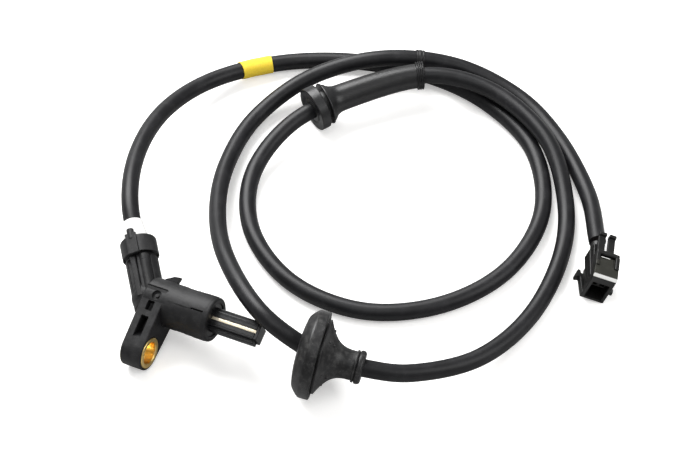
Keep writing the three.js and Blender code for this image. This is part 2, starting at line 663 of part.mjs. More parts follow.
add(sensor, 'small_grommet', smallGrommet(), blackRubber);
add(sensor, 'large_grommet', largeGrommet(), blackRubber);
add(connectorFrame, 'connector_housing', connectorHousing(), blackPlastic);
add(connectorFrame, 'connector_lock', connectorLock(), greyPlastic);
sensor.add(sensorFrame, connectorFrame);

export default sensor;
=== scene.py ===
import math

import bmesh
import bpy
from mathutils import Matrix, Vector


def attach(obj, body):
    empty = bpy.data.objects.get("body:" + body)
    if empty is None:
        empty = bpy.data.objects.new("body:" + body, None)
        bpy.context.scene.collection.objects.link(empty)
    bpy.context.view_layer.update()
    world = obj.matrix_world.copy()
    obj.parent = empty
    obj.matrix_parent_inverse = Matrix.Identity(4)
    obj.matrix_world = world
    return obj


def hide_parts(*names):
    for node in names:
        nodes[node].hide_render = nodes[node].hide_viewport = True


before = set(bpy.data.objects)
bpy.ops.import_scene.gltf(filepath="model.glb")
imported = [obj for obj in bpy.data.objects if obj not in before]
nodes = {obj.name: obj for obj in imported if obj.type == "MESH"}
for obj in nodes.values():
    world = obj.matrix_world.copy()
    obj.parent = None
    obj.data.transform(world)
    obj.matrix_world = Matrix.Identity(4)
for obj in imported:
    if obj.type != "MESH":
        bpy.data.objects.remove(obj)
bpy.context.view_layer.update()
print("frame loaded:", len(nodes), "nodes")

mm = 0.001
scene = bpy.context.scene

shaping = {
    "cornerSegments": 4,  # on a round in an outline
    "edgeSegments": 3,
    "easeSegments": 2,
    "weld": 1e-4,
    "sliver": 0.002,
    "flatDegrees": 0.4,  # faces that lie this close to one plane become one
    "normalWeight": 60,
}


# Camera
camera = {
    "lens": 115.0,
    "sensor": 36.0,
    "clip": (0.01, 20),  # metres
    "place": (291.66, -440.31, 686.38),  # millimetres, as every length below
    "aim": (34.68, 75.12, 0.0),
}


def makeCamera():
    data = bpy.data.cameras.new("camera")
    data.lens = camera["lens"]
    data.sensor_width = camera["sensor"]
    data.clip_start, data.clip_end = camera["clip"]
    lens = bpy.data.objects.new("camera", data)
    place, aim = Vector(camera["place"]) * mm, Vector(camera["aim"]) * mm
    lens.location = place
    lens.rotation_mode = "QUATERNION"
    lens.rotation_quaternion = (aim - place).to_track_quat("-Z", "Y")
    scene.collection.objects.link(lens)
    scene.camera = lens


makeCamera()


# The cable follows the same points as in the CAD source
lead = {
    "radius": 3.45,
    "length": 1.2134,  # metres
    "ringStep": 2.0,
    "sides": 40,
    "route": [
        (-22.1, 10.6, 16.4), (-41.2, 34, 22.8), (-54, 62.7, 18.9), (-58.4, 93, 12.3), (-51.4, 121, 6.7),
        (-31.3, 144.4, 4.2), (-3.5, 159.3, 3.7), (26.8, 165.4, 3.7), (56.2, 161.6, 3.7), (83.4, 146, 3.7),
        (100.1, 116.7, 3.7), (99.9, 83.8, 3.7), (84.5, 56.5, 3.7), (58.4, 39.7, 3.7), (27.4, 39.5, 3.8),
        (0.6, 55.9, 4), (-12.8, 82.2, 5.6), (-9.5, 112.1, 9.1), (8, 137.4, 11.7), (31.2, 157.5, 13.2),
        (58.3, 162.1, 11.4), (87.4, 149.3, 9.4), (106.1, 126.2, 5), (115.9, 99.1, 3.7), (117.1, 66, 4),
        (108.3, 36.9, 6.6), (90, 16.1, 11), (72.2, 6.9, 15.2), (58.7, 3.9, 16.9), (33.5, 4.7, 27.2),
        (6.2, 26.3, 21), (-12.4, 51.8, 12.4), (-24.3, 80.7, 6.2), (-26.8, 110.9, 4.5), (-14.9, 138.4, 8.6),
        (8.5, 157.8, 12.6), (36.5, 171, 9), (65.4, 170.4, 4.6), (89.8, 156.8, 3.7), (113, 133, 5),
        (127.2, 108.3, 8.6),
    ],
}
route = [Vector(point) for point in lead["route"]]


# Where things lie. The outlet's own place is inside the sensor's
def turn(degrees, axis):
    return Matrix.Rotation(math.radians(degrees), 4, axis)


toMetres = Matrix.Scale(mm, 4)
sensorPlace = Matrix.Translation((-4.7, 1.5, 14.775)) @ turn(-5.5, "Y") @ turn(20, "X")
elbowPlace = Matrix.Translation((-10, 0, 0))
inOutlet = elbowPlace @ turn(126.5, "Z")
outletPlace = sensorPlace @ inOutlet
plugPlace = Matrix.Translation((130.7, 98.1, 1.4034)) @ turn(-72.8, "Z") @ turn(-17, "X")
discPlace = Matrix.Translation((57.69, 3.7, 17.05)) @ turn(12.5, "Z") @ turn(7.1, "Y")

# An outline drawn in y and z and carried along x, or drawn in x and z and carried along -y
alongX = Matrix(((0, 0, 1, 0), (1, 0, 0, 0), (0, 1, 0, 0), (0, 0, 0, 1)))
alongY = Matrix(((1, 0, 0, 0), (0, 0, -1, 0), (0, 1, 0, 0), (0, 0, 0, 1)))


# Shaping. Everything is shaped in millimetres and brought to metres when it is placed
def meshFrom(shape):
    mesh = bpy.data.meshes.new("shape")
    shape.to_mesh(mesh)
    shape.free()
    return mesh


def wireOf(points, closed):
    # A point is x, y and, where the corner is rounded, the size of its round
    shape = bmesh.new()
    corners = [shape.verts.new((point[0], point[1], 0)) for point in points]
    for first, second in zip(corners, corners[1:] + (corners[:1] if closed else [])):
        shape.edges.new((first, second))
    for ease in sorted({point[2] for point in points if len(point) > 2}):
        picked = [corner for corner, point in zip(corners, points) if len(point) > 2 and point[2] == ease]
        bmesh.ops.bevel(shape, geom=picked, offset=ease, offset_type="OFFSET", profile=0.5, affect="VERTICES",
                        segments=shaping["cornerSegments"], material=-1, clamp_overlap=True)
    return shape


def easedEdges(shape, edges, size):
    bmesh.ops.bevel(shape, geom=edges, offset=size, offset_type="OFFSET", segments=shaping["edgeSegments"],
                    profile=0.5, affect="EDGES", material=-1, clamp_overlap=True)


def turned(points, steps=96, closed=False, place=Matrix()):
    # Spins a profile of x and radius about the x axis
    shape = wireOf(points, closed)
    bmesh.ops.spin(shape, geom=shape.verts[:] + shape.edges[:], cent=(0, 0, 0), axis=(1, 0, 0),
                   dvec=(0, 0, 0), angle=2 * math.pi, steps=steps, use_merge=True)
    bmesh.ops.remove_doubles(shape, verts=shape.verts, dist=shaping["weld"])
    bmesh.ops.recalc_face_normals(shape, faces=shape.faces)
    shape.transform(place)
    return meshFrom(shape)


def rod(start, end, radius, steps=96, place=Matrix()):
    return turned([(start, 0), (start, radius), (end, radius), (end, 0)], steps, place=place)


def prism(points, low, high, ease=0.0, place=Matrix()):
    # An outline in x and y carried from low to high
    shape = wireOf(points, True)
    face = bmesh.ops.contextual_create(shape, geom=shape.edges[:])["faces"][0]
    bmesh.ops.translate(shape, verts=shape.verts, vec=(0, 0, low))
    grown = bmesh.ops.extrude_face_region(shape, geom=[face], use_keep_orig=True)["geom"]
    bmesh.ops.translate(shape, verts=[item for item in grown if isinstance(item, bmesh.types.BMVert)],
                        vec=(0, 0, high - low))
    bmesh.ops.recalc_face_normals(shape, faces=shape.faces)
    if ease:
        easedEdges(shape, [e for e in shape.edges if abs(e.verts[0].co.z - e.verts[1].co.z) < 1e-6], ease)
    shape.transform(place)
    return meshFrom(shape)


def block(x0, x1, y0, y1, z0, z1, ease=0.0, place=Matrix()):
    shape = bmesh.new()
    size = Matrix.Diagonal((x1 - x0, y1 - y0, z1 - z0, 1))
    middle = Matrix.Translation(((x0 + x1) / 2, (y0 + y1) / 2, (z0 + z1) / 2))
    bmesh.ops.create_cube(shape, size=1, matrix=middle @ size)
    if ease:
        easedEdges(shape, shape.edges[:], ease)
    shape.transform(place)
    return meshFrom(shape)


def ball(radius, place=Matrix()):
    shape = bmesh.new()
    bmesh.ops.create_uvsphere(shape, u_segments=48, v_segments=24, radius=radius)
    shape.transform(place)
    return meshFrom(shape)


def worked(mesh, joined=(), cut=(), ease=0.0, sharp=40):
    # Joins and cuts solids exactly, then eases the edges that are left
    base = bpy.data.objects.new("base", mesh)
    scene.collection.objects.link(base)
    tools = []
    for kind, others in (("UNION", joined), ("DIFFERENCE", cut)):
        for other in others:
            tool = bpy.data.objects.new("tool", other)
            scene.collection.objects.link(tool)
            tools.append(tool)
            step = base.modifiers.new(kind, "BOOLEAN")
            step.operation, step.solver, step.object = kind, "EXACT", tool
    if ease:
        easing = base.modifiers.new("ease", "BEVEL")
        easing.width, easing.segments, easing.limit_method = ease, shaping["easeSegments"], "ANGLE"
        easing.angle_limit = math.radians(sharp)
        easing.miter_outer = "MITER_ARC"
        easing.use_clamp_overlap = True
    graph = bpy.context.evaluated_depsgraph_get()
    result = bpy.data.meshes.new_from_object(base.evaluated_get(graph))
    for item in (base, *tools):
        bpy.data.objects.remove(item)
    return result


def cleaned(mesh):
    # Clears the slivers that cutting leaves on flat faces
    shape = bmesh.new()
    shape.from_mesh(mesh)
    bmesh.ops.remove_doubles(shape, verts=shape.verts, dist=shaping["sliver"])
    bmesh.ops.dissolve_degenerate(shape, edges=shape.edges, dist=shaping["sliver"])
    bmesh.ops.dissolve_limit(shape, angle_limit=math.radians(shaping["flatDegrees"]), verts=shape.verts,
                             edges=shape.edges, use_dissolve_boundaries=False)
    return meshFrom(shape)


# Places along the cable, measured from its start inside the outlet
def sampleRoute(steps=60):
    ends = [2 * route[0] - route[1], *route, 2 * route[-1] - route[-2]]
    points = []
    for i in range(len(route) - 1):
        a, d = route[i], route[i + 1]
        b, c = a + (d - ends[i]) / 6, d - (ends[i + 3] - a) / 6
        for k in range(steps):
            t = k / steps
            points.append((1 - t) ** 3 * a + 3 * (1 - t) ** 2 * t * b + 3 * (1 - t) * t * t * c + t ** 3 * d)
    points.append(route[-1])
    reach = [0.0]
    for first, second in zip(points, points[1:]):
        reach.append(reach[-1] + (second - first).length)
    return points, reach


routePoints, routeReach = sampleRoute()


def onRoute(along):
    low, high = 0, len(routeReach) - 2
    while low < high:
        middle = (low + high + 1) // 2
        if routeReach[middle] <= along:
            low = middle
        else:
            high = middle - 1
    ahead = (routePoints[min(low + 2, len(routePoints) - 1)] - routePoints[max(low - 1, 0)]).normalized()
    share = (along - routeReach[low]) / (routeReach[low + 1] - routeReach[low])
    return routePoints[low].lerp(routePoints[low + 1], share), ahead


def bentAlong(mesh, start):
    # The straight shape's x axis follows the cable
    for vertex in mesh.vertices:
        point, ahead = onRoute(start + vertex.co.x)
        side = Vector((0, 0, 1)).cross(ahead).normalized()
        top = ahead.cross(side)
        vertex.co = point + side * vertex.co.y + top * vertex.co.z
    return mesh


def rememberShape(mesh):
    # Keeps each vertex's place on the straight shape, in millimetres, for the finishes that follow it
    kept = mesh.attributes.new("straight", "FLOAT_VECTOR", "POINT")
    flat = [value for vertex in mesh.vertices for value in vertex.co]
    kept.data.foreach_set("vector", flat)
    return mesh


def placed(name, mesh, place, finish, slot, *replaced, smooth=40):
    mesh.name = name
    mesh.transform(toMetres @ place)
    for face in mesh.polygons:
        face.use_smooth = True
    mesh.set_sharp_from_angle(angle=math.radians(smooth))
    mesh.materials.clear()
    mesh.materials.append(finishFor(finish, mesh))
    piece = bpy.data.objects.new(name, mesh)
    scene.collection.objects.link(piece)
    even = piece.modifiers.new("even_normals", "WEIGHTED_NORMAL")
    even.keep_sharp = True
    even.weight = shaping["normalWeight"]
    if replaced:
        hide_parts(*replaced)
    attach(piece, "root")
    print("made", name, len(mesh.polygons))
    return piece


def onCableAt(name, mesh, start, finish, slot, *replaced, smooth=40):
    return placed(name, bentAlong(rememberShape(mesh), start), Matrix(), finish, slot, *replaced, smooth=smooth)


# Effects that several finishes share. A range is from where a mask starts to where it is full
wear = {
    "slowGrain": 0.16,  # size of the unevenness beside the grain
    "patchRange": (0.42, 0.72),
    "speckRange": (0.5, 0.68),
    "patchShare": 0.6,
    "rubRange": (0.56, 0.8),
    "rubsPerMm": 1.1,
    "rubStretch": 0.1,
}


def newGroup(name, values, result):
    # Takes a place in millimetres and some values, and gives one value
    group = bpy.data.node_groups.new(name, "ShaderNodeTree")
    group.interface.new_socket("Vector", in_out="INPUT", socket_type="NodeSocketVector")
    for label, value in values.items():
        group.interface.new_socket(label, in_out="INPUT", socket_type="NodeSocketFloat").default_value = value
    group.interface.new_socket(result, in_out="OUTPUT", socket_type="NodeSocketFloat")
    return group, group.nodes.new("NodeGroupInput"), group.nodes.new("NodeGroupOutput")


def noiseNode(tree, scale, detail=3.0, roughness=0.55):
    node = tree.nodes.new("ShaderNodeTexNoise")
    node.inputs["Scale"].default_value = scale
    node.inputs["Detail"].default_value = detail
    node.inputs["Roughness"].default_value = roughness
    return node


def rampNode(tree, low, high):
    # A mask that runs from 0 at low to 1 at high
    node = tree.nodes.new("ShaderNodeMapRange")
    node.interpolation_type = "SMOOTHSTEP"
    node.inputs["From Min"].default_value = low
    node.inputs["From Max"].default_value = high
    return node


def mathNode(tree, operation, *values):
    node = tree.nodes.new("ShaderNodeMath")
    node.operation = operation
    for number, value in enumerate(values):
        if value is not None:
            node.inputs[number].default_value = value
    return node


def makeGrain():
    # Moulded or rubbery grain: a fine pebble over a softer unevenness
    group, start, end = newGroup("moulded_grain", {"Per mm": 4.0, "Unevenness": 0.5}, "Height")
    link = group.links.new
    fine = noiseNode(group, 1.0, 2.0, 0.6)
    broad = noiseNode(group, 1.0, 1.0, 0.5)
    slower = mathNode(group, "MULTIPLY", None, wear["slowGrain"])
    share = mathNode(group, "MULTIPLY")
    total = mathNode(group, "ADD")
    link(start.outputs["Vector"], fine.inputs["Vector"])
    link(start.outputs["Vector"], broad.inputs["Vector"])
    link(start.outputs["Per mm"], fine.inputs["Scale"])
    link(start.outputs["Per mm"], slower.inputs[0])
    link(slower.outputs[0], broad.inputs["Scale"])
    link(broad.outputs["Fac"], share.inputs[0])
    link(start.outputs["Unevenness"], share.inputs[1])
    link(fine.outputs["Fac"], total.inputs[0])
    link(share.outputs[0], total.inputs[1])
    link(total.outputs[0], end.inputs["Height"])
    return group


def makeDust():
    # Patchy dust: broad drifts broken up by specks
    group, start, end = newGroup("dust_patches", {"Patch mm": 0.2, "Specks mm": 2.2, "Cover": 0.5}, "Mask")
    link = group.links.new
    drift = noiseNode(group, 1.0, 4.0, 0.6)
    specks = noiseNode(group, 1.0, 2.0, 0.7)
    patches = rampNode(group, *wear["patchRange"])
    dots = rampNode(group, *wear["speckRange"])
    some = mathNode(group, "MULTIPLY")
    lift = mathNode(group, "MULTIPLY_ADD", None, wear["patchShare"], None)
    scaled = mathNode(group, "MULTIPLY")
    scaled.use_clamp = True
    for node, name in ((drift, "Patch mm"), (specks, "Specks mm")):
        link(start.outputs["Vector"], node.inputs["Vector"])
        link(start.outputs[name], node.inputs["Scale"])
    link(drift.outputs["Fac"], patches.inputs["Value"])
    link(specks.outputs["Fac"], dots.inputs["Value"])
    link(patches.outputs["Result"], some.inputs[0])
    link(dots.outputs["Result"], some.inputs[1])
    link(patches.outputs["Result"], lift.inputs[0])
    link(some.outputs[0], lift.inputs[2])
    link(lift.outputs[0], scaled.inputs[0])
    link(start.outputs["Cover"], scaled.inputs[1])
    link(scaled.outputs[0], end.inputs["Mask"])
    return group


def makeRubs():
    # Long faint rubs and scratches, which run along the vector's x
    group, start, end = newGroup("handling_rubs", {"Per mm": 1.0, "Stretch": 0.08, "Amount": 0.5}, "Mask")
    link = group.links.new
    drawn = group.nodes.new("ShaderNodeVectorMath")
    drawn.operation = "MULTIPLY"
    gather = group.nodes.new("ShaderNodeCombineXYZ")
    gather.inputs["Y"].default_value = gather.inputs["Z"].default_value = 1
    lines = noiseNode(group, 1.0, 5.0, 0.75)
    mask = rampNode(group, *wear["rubRange"])
    scaled = mathNode(group, "MULTIPLY")
    link(start.outputs["Stretch"], gather.inputs["X"])
    link(start.outputs["Vector"], drawn.inputs[0])
    link(gather.outputs[0], drawn.inputs[1])
    link(drawn.outputs[0], lines.inputs["Vector"])
    link(start.outputs["Per mm"], lines.inputs["Scale"])
    link(lines.outputs["Fac"], mask.inputs["Value"])
    link(mask.outputs["Result"], scaled.inputs[0])
    link(start.outputs["Amount"], scaled.inputs[1])
    link(scaled.outputs[0], end.inputs["Mask"])
    return group


grain, dust, rubs = makeGrain(), makeDust(), makeRubs()

# One entry for each finish: colours are linear, sizes in millimetres. What an entry leaves out is as in plain
plain = {"gloss": 0.5, "metal": 0.0, "uneven": 1.0, "rub": 0.0}
finishes = {
    "housingPlastic": dict(
        color=(0.0082, 0.0082, 0.0088), worn=(0.036, 0.036, 0.037), rough=0.5, roughWorn=0.62, gloss=0.27,
        grainPerMm=5.0, uneven=1.2, bump=0.035, patch=0.2, specks=2.5, cover=0.6, rub=0.5),
    "capPlastic": dict(
        color=(0.0125, 0.0125, 0.013), worn=(0.042, 0.042, 0.042), rough=0.46, roughWorn=0.62, gloss=0.3,
        grainPerMm=4.0, bump=0.04, patch=0.4, specks=2.5, cover=0.4, rub=0.2),
    "bladePlastic": dict(
        color=(0.0049, 0.0051, 0.0058), worn=(0.0255, 0.0255, 0.0270), rough=0.38, roughWorn=0.52, gloss=0.34,
        grainPerMm=5.0, bump=0.015, patch=0.3, specks=2.0, cover=0.3, rub=0.5),
    "sheathRubber": dict(
        color=(0.0052, 0.0052, 0.0062), worn=(0.0195, 0.0195, 0.0215), rough=0.42, roughWorn=0.54, gloss=0.27,
        grainPerMm=3.0, uneven=1.6, bump=0.012, patch=0.16, specks=1.6, cover=0.55, rub=0.4),
    "grommetRubber": dict(
        color=(0.0049, 0.0049, 0.0053), worn=(0.055, 0.054, 0.053), rough=0.38, roughWorn=0.6, gloss=0.36,
        grainPerMm=3.2, uneven=1.5, bump=0.03, patch=0.5, specks=2.6, cover=0.7, rub=0.1),
    "bootRubber": dict(
        color=(0.0062, 0.0062, 0.0068), worn=(0.026, 0.026, 0.027), rough=0.36, roughWorn=0.5, gloss=0.42,
        grainPerMm=3.2, uneven=1.5, bump=0.02, patch=0.25, specks=1.6, cover=0.25, rub=0.1),
    "plugPlastic": dict(
        color=(0.0064, 0.0064, 0.0062), worn=(0.0270, 0.0270, 0.0255), rough=0.38, roughWorn=0.52, gloss=0.34,
        grainPerMm=6.0, bump=0.015, patch=0.4, specks=3.0, cover=0.3, rub=0.25),
    "lockPlastic": dict(
        color=(0.018, 0.018, 0.014), worn=(0.038, 0.038, 0.032), rough=0.34, roughWorn=0.48, gloss=0.4,
        grainPerMm=5.0, bump=0.012, patch=0.4, specks=3.0, cover=0.35, rub=0.2),
    # near-white colour for the lock plate's slanted front edge and its thin rear strip: a painted highlight,
    # not the plastic's own colour
    "edgeHighlightPaint": dict(
        color=(0.78, 0.78, 0.76), worn=(0.6, 0.6, 0.57), rough=0.25, roughWorn=0.4,
        grainPerMm=5.0, bump=0.008, patch=0.5, specks=3.0, cover=0.3, rub=0.1),
    "sleevePlastic": dict(
        color=(0.80, 0.80, 0.785), worn=(0.62, 0.60, 0.55), rough=0.42, roughWorn=0.6,
        grainPerMm=3.0, bump=0.02, patch=0.35, specks=2.0, cover=0.3),
    "bandRubber": dict(
        color=(0.0045, 0.0045, 0.0049), worn=(0.0180, 0.0180, 0.0180), rough=0.5, roughWorn=0.64, gloss=0.34,
        grainPerMm=3.0, bump=0.03, patch=0.4, specks=2.0, cover=0.4),
    "bushBrass": dict(
        color=(0.80, 0.57, 0.19), worn=(0.92, 0.75, 0.43), rough=0.3, roughWorn=0.42, metal=1.0,
        grainPerMm=8.0, uneven=0.6, bump=0.012, patch=0.6, specks=4.0, cover=0.7, rub=0.6),
    "pinBrass": dict(
        color=(0.80, 0.56, 0.25), worn=(0.88, 0.70, 0.42), rough=0.28, roughWorn=0.4, metal=1.0,
        grainPerMm=10.0, uneven=0.5, bump=0.006, patch=0.8, specks=4.0, cover=0.5, rub=0.4),
    "poleSteel": dict(
        color=(0.72, 0.64, 0.48), worn=(0.86, 0.83, 0.77), rough=0.28, roughWorn=0.36, metal=0.55,
        grainPerMm=10.0, uneven=0.5, bump=0.006, patch=0.4, specks=4.0, cover=0.5, rub=0.4),
    "magnetIron": dict(
        color=(0.32, 0.32, 0.33), worn=(0.46, 0.46, 0.46), rough=0.4, roughWorn=0.5, metal=1.0,
        grainPerMm=6.0, uneven=0.8, bump=0.015, patch=0.5, specks=3.0, cover=0.5, rub=0.3),
    "coreSheath": dict(
        color=(0.22, 0.09, 0.04), worn=(0.30, 0.14, 0.08), rough=0.45, roughWorn=0.55,
        grainPerMm=6.0, bump=0.01, patch=0.5, specks=3.0, cover=0.4),
    "windingCopper": dict(
        color=(0.78, 0.30, 0.13), worn=(0.86, 0.42, 0.22), rough=0.28, roughWorn=0.4, metal=1.0,
        grainPerMm=8.0, uneven=0.5, bump=0.02, patch=0.5, specks=4.0, cover=0.4),
}
finishes["sealRubber"] = finishes["bandRubber"]
finishes["tapeCloth"] = finishes["sleevePlastic"]


def placeNode(tree, attribute=None):
    # The surface's own coordinates in millimetres
    if attribute:
        node = tree.nodes.new("ShaderNodeAttribute")
        node.attribute_name = attribute
        return node.outputs["Vector"]
    place = tree.nodes.new("ShaderNodeTexCoord")
    grown = tree.nodes.new("ShaderNodeMapping")
    grown.inputs["Scale"].default_value = (1 / mm, 1 / mm, 1 / mm)
    tree.links.new(place.outputs["Object"], grown.inputs["Vector"])
    return grown.outputs["Vector"]


def groupNode(tree, group, place, **values):
    node = tree.nodes.new("ShaderNodeGroup")
    node.node_tree = group
    tree.links.new(place, node.inputs["Vector"])
    for name, value in values.items():
        node.inputs[name.replace("_", " ")].default_value = value
    return node


def mixedColor(tree, mask, first, second):
    node = tree.nodes.new("ShaderNodeMix")
    node.data_type = "RGBA"
    for number, value in ((6, first), (7, second)):
        if isinstance(value, tuple):
            node.inputs[number].default_value = (*value[:3], 1)
        else:
            tree.links.new(value, node.inputs[number])
    tree.links.new(mask, node.inputs[0])
    return node.outputs[2]


def mixedValue(tree, mask, first, second):
    node = tree.nodes.new("ShaderNodeMapRange")
    node.inputs["To Min"].default_value = first
    node.inputs["To Max"].default_value = second
    tree.links.new(mask, node.inputs["Value"])
    return node.outputs["Result"]


def makeFinish(name, attribute=None):
    values = {**plain, **finishes[name]}
    material = bpy.data.materials.new(name)
    material.use_nodes = True
    tree = material.node_tree
    link = tree.links.new
    shader = tree.nodes["Principled BSDF"]
    shader.inputs["Metallic"].default_value = values["metal"]
    shader.inputs["Specular IOR Level"].default_value = values["gloss"]
    place = placeNode(tree, attribute)
    dusty = groupNode(tree, dust, place, Patch_mm=values["patch"], Specks_mm=values["specks"],
                      Cover=values["cover"])
    rubbed = groupNode(tree, rubs, place, Per_mm=wear["rubsPerMm"], Stretch=wear["rubStretch"],
                       Amount=values["rub"])
    worn = mathNode(tree, "MAXIMUM")
    link(dusty.outputs["Mask"], worn.inputs[0])
    link(rubbed.outputs["Mask"], worn.inputs[1])
    link(mixedColor(tree, worn.outputs[0], values["color"], values["worn"]), shader.inputs["Base Color"])
    link(mixedValue(tree, worn.outputs[0], values["rough"], values["roughWorn"]), shader.inputs["Roughness"])
    pebbled = groupNode(tree, grain, place, Per_mm=values["grainPerMm"], Unevenness=values["uneven"])
    bump = tree.nodes.new("ShaderNodeBump")
    bump.inputs["Strength"].default_value = 1.0
    bump.inputs["Distance"].default_value = values["bump"] * mm
    link(pebbled.outputs["Height"], bump.inputs["Height"])
    link(bump.outputs["Normal"], shader.inputs["Normal"])
    print("finish", name)
    return material


def finishFor(name, mesh):
    # A mesh that remembers its straight shape gets a finish that follows it
    known = bpy.data.materials.get(name)
    return known or makeFinish(name, "straight" if "straight" in mesh.attributes else None)


def makeCable():
    r, length = lead["radius"], routeReach[-1]
    count = round(length / lead["ringStep"])
    shape = turned([(0, 0), *((length * i / count, r) for i in range(count + 1)), (length, 0)], lead["sides"])
    return onCableAt("cable_sheath", shape, 0, "sheathRubber", "sheath_rubber", "cable", smooth=50)


cable = makeCable()


# Sensor housing: barrel, ear, elbow and outlet tube in one moulding
housing = {
    "barrelRadius": 8.7,
    "barrelEnd": 19.2,
    "collar": (12.5, 17.6, 0.12),  # start, end and height of the raised band that the slit lies in
    "waist": (4.6, 9.4, 0.12),  # start, end and depth of the shallow band behind it
    "slitTurn": 5.3,  # degrees that the slit and the parting line sit off the top
    "latch": (0.6, 1.2, 14),  # how deep the tooth is rooted, its half width and its turn in degrees
    "earThickness": 9.0,
    "earTop": 3.2,
    "earHalfWidth": 8.7,
    "bushOffset": 20.4,
    "pocketHalfWidth": 1.6,
    "pocketDepth": (3.4, 6.5),  # of the upper and the lower pocket
    "mark": (0.7, 1.95, 0.5, 1.1),  # the round recess: inner and outer radius, inner and outer depth
    "bossRadius": 7.0,
    "bushHole": 6.4,
    "coilBore": 6.6,
    "outletRadius": 6.4,
    "outletBore": 4.7,
    "outletEnd": 23.2,
    "gap": (1.3, 1.4),  # the groove under the cap: width and depth
    "capStart": 17.3,
    "flank": (2.9, 4.7, 1.5),  # the sunk strip beside the rib: from, to and depth
    "rib": (0.8, 2.9, 0.25),
    "bar": (-2.1, 2.15, 6.8),  # the round bar's middle, radius and top
}


def barrelShape():
    r, end = housing["barrelRadius"], housing["barrelEnd"]
    start, stop, proud = housing["collar"]
    back, front, deep = housing["waist"]
    return turned([(-8.8, 0), (-8.8, r, 0.5), (back, r), (back + 0.5, r - deep), (front - 0.5, r - deep),
                   (front, r), (start, r), (start + 0.25, r + proud), (stop - 0.25, r + proud), (stop, r),
                   (end, r, 0.85), (end, housing["coilBore"], 0.15), (end - 2, housing["coilBore"]),
                   (end - 2, 0)], 128)


def earShape():
    half, top, far = housing["earHalfWidth"], housing["earTop"], housing["bushOffset"]
    boss, thick = housing["bossRadius"], housing["earThickness"]
    lean = math.asin((half - boss) / math.hypot(far + top, half - boss))
    y, z = -far - boss * math.sin(lean), boss * math.cos(lean)
    arm = prism([(top, -half), (top, half), (y, z), (y, -z)], -thick, 0, 0.45, alongX)
    end = turned([(-thick, 0), (-thick, boss, 0.45), (0, boss, 0.45), (0, 0)], 128,
                 place=Matrix.Translation((0, -far, 0)))
    return arm, end


def earPockets():
    top = housing["earHalfWidth"]
    middle = -housing["earThickness"] / 2
    half = housing["pocketHalfWidth"]
    shallow, deep = housing["pocketDepth"]
    inner, outer, boss, floor = housing["mark"]
    upper = block(middle - 1.35, middle + 1.5, -6.7, -2.75, top - shallow, top + 2, 0.4)
    lower = prism([(-9, top + 2), (-9, top - deep, 0.5), (-13.6, top - deep + 0.5, 1.0),
                   (-18.2, top - 1.1, 0.8), (-19.6, top + 2)], middle - half, middle + half, 0, alongX)
    mark = turned([(top - boss, 0), (top - boss, inner), (top - floor, inner + 0.1), (top - floor, outer),
                   (top + 2, outer), (top + 2, 0)], 48,
                  place=Matrix.Translation((middle + 1.1, -0.2, 0)) @ turn(-90, "Y"))
    step = block(-9.5, 0.4, housing["earTop"] - 0.6, housing["earTop"] - 0.25, top - 0.7, top + 1)
    return [upper, lower, mark, step]


def toothShape():
    sunk, half, lean = housing["latch"]
    root = housing["barrelRadius"] - sunk
    return prism([(-5.6, root), (-5.6, root + 0.8, 0.2), (-2.2, root + 2.7, 0.3), (0.3, root + 3.1, 0.25),
                  (-0.5, root)], -half, half, 0.15, turn(lean, "X"))


def outletShapes():
    r, cap = housing["outletRadius"], housing["capStart"]
    wide, sunken = housing["gap"]
    tube = turned([(-4.6, 0), (-4.6, r, 0.6), (cap - wide, r, 0.08), (cap - wide + 0.05, r - sunken),
                   (cap + 0.6, r - sunken), (cap + 0.7, r), (housing["outletEnd"], r, 0.4),
                   (housing["outletEnd"], 0)], place=inOutlet)
    low, high, deep = housing["flank"]
    sunk = [block(-0.5, cap - 1.7, low, high, r * 0.86 - deep, r + 2, 0.35, inOutlet),
            block(0, cap + 0.2, 0.1, 0.75, 4.9, r + 2, 0.0, inOutlet),
            block(0, cap + 0.2, -4.95, -4.35, 3.4, r + 2, 0.0, inOutlet)]
    low, high, proud = housing["rib"]
    rib = block(-1, cap - wide + 0.05, low, high, 2, r + proud, 0.35, inOutlet)
    y, radius, top = housing["bar"]
    bar = turned([(0.5, 0), (0.5, radius), (cap - 3.85, radius, 0.1), (cap - 3.75, radius - 0.14, 0.05),
                  (cap - 3.65, radius, 0.1), (cap - wide + 0.05, radius, 0.1), (cap - wide + 0.05, 0)], 48,
                 place=inOutlet @ Matrix.Translation((0, y, top - radius)))
    return worked(tube, cut=sunk), rib, bar


def makeHousing():
    arm, end = earShape()
    fluted, rib, bar = outletShapes()
    elbow = ball(housing["outletRadius"] + 0.3, elbowPlace)
    lower = turn(housing["slitTurn"], "X")
    seam = block(1.5, 12, -0.16, 0.16, 8, housing["barrelRadius"] + 0.1, 0.0, lower)
    body = worked(barrelShape(), joined=[arm, end, elbow, fluted, rib, bar, toothShape(), seam])
    slit = block(11.7, 17, -0.36, 0.36, housing["barrelRadius"] - 1.2, 12, 0.12, lower)
    bore = rod(0.2, 30, housing["coilBore"])
    rear = rod(-8.6, 1, 4.4, 48)
    outletHole = rod(-2.6, 30, housing["outletBore"], 64, inOutlet)
    bushHole = rod(-12, 3, housing["bushHole"], place=Matrix.Translation((0, -housing["bushOffset"], 0)))
    whole = cleaned(worked(body, cut=[*earPockets(), slit, bore, rear, outletHole, bushHole]))
    whole = worked(whole, ease=0.14, sharp=38)
    return placed("sensor_body", whole, sensorPlace, "housingPlastic", "black_plastic", "sensor_housing",
                  smooth=32)


makeHousing()


# Mounting bush: a brass sleeve whose rims stand a little proud
bush = {"bore": 4.25, "outer": 6.1, "proud": 0.3}


